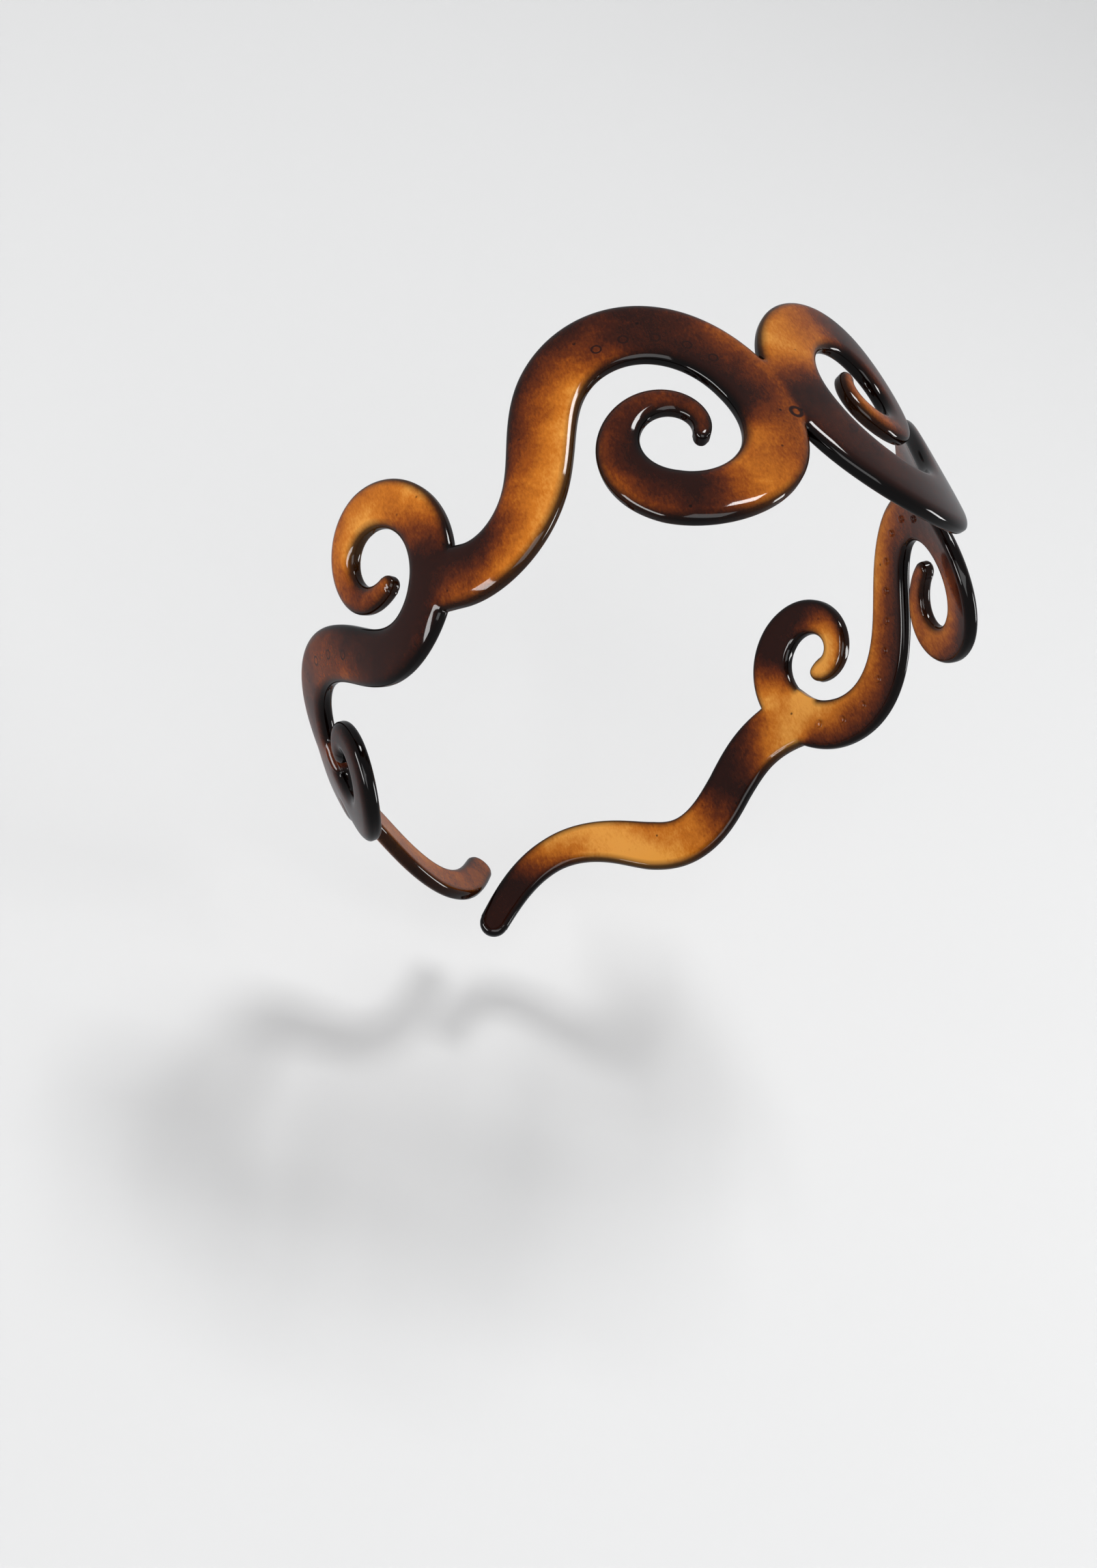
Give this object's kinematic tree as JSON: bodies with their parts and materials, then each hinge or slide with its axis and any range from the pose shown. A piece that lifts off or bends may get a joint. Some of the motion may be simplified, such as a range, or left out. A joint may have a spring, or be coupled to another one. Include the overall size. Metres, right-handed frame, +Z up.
{
  "type": "headband",
  "caption": "Springy hair band of flat tortoiseshell ribbons that curl into scrolls over the crown and sides and run down into wavy arms, with low grip studs inside.",
  "frame": {"origin": "middle of the crown on its inner face, where it rests on the head", "axes": "+Z up out of the crown, X across the head from the left arm to the right arm, Y across the band from its front edge to its back edge"},
  "size_m": [0.1128, 0.0518, 0.1356],
  "materials": {
    "tortoiseshell": "polished, translucent amber clouded with dark brown"
  },
  "bodies": {
    "crown": {"left_crown_scroll": "tortoiseshell", "left_crown_studs": "tortoiseshell", "right_crown_scroll": "tortoiseshell", "right_crown_studs": "tortoiseshell"},
    "left_side": {"left_side_scroll": "tortoiseshell", "left_side_studs": "tortoiseshell"},
    "left_arm": {"left_arm": "tortoiseshell"},
    "right_side": {"right_side_scroll": "tortoiseshell", "right_side_studs": "tortoiseshell"},
    "right_arm": {"right_arm": "tortoiseshell"}
  },
  "joints": [
    {"name": "left_side_flex", "type": "hinge", "parent": "crown", "child": "left_side", "pos_m": [-0.04903, -0.01276, -0.02952], "axis": [0, 1, 0], "range_deg": [0, 20], "stiffness_Nm_per_rad": 0.4},
    {"name": "left_arm_flex", "type": "hinge", "parent": "left_side", "child": "left_arm", "pos_m": [-0.0474, -0.00662, -0.0864], "axis": [0, 1, 0], "range_deg": [0, 15], "stiffness_Nm_per_rad": 0.3},
    {"name": "right_side_flex", "type": "hinge", "parent": "crown", "child": "right_side", "pos_m": [0.04903, 0.01276, -0.02952], "axis": [0, -1, 0], "range_deg": [0, 20], "stiffness_Nm_per_rad": 0.4},
    {"name": "right_arm_flex", "type": "hinge", "parent": "right_side", "child": "right_arm", "pos_m": [0.0474, 0.00662, -0.0864], "axis": [0, -1, 0], "range_deg": [0, 15], "stiffness_Nm_per_rad": 0.3}
  ],
  "couplings": [
    {"joint": "left_arm_flex", "follows": "left_side_flex", "ratio": 0.75},
    {"joint": "right_arm_flex", "follows": "right_side_flex", "ratio": 0.75}
  ]
}
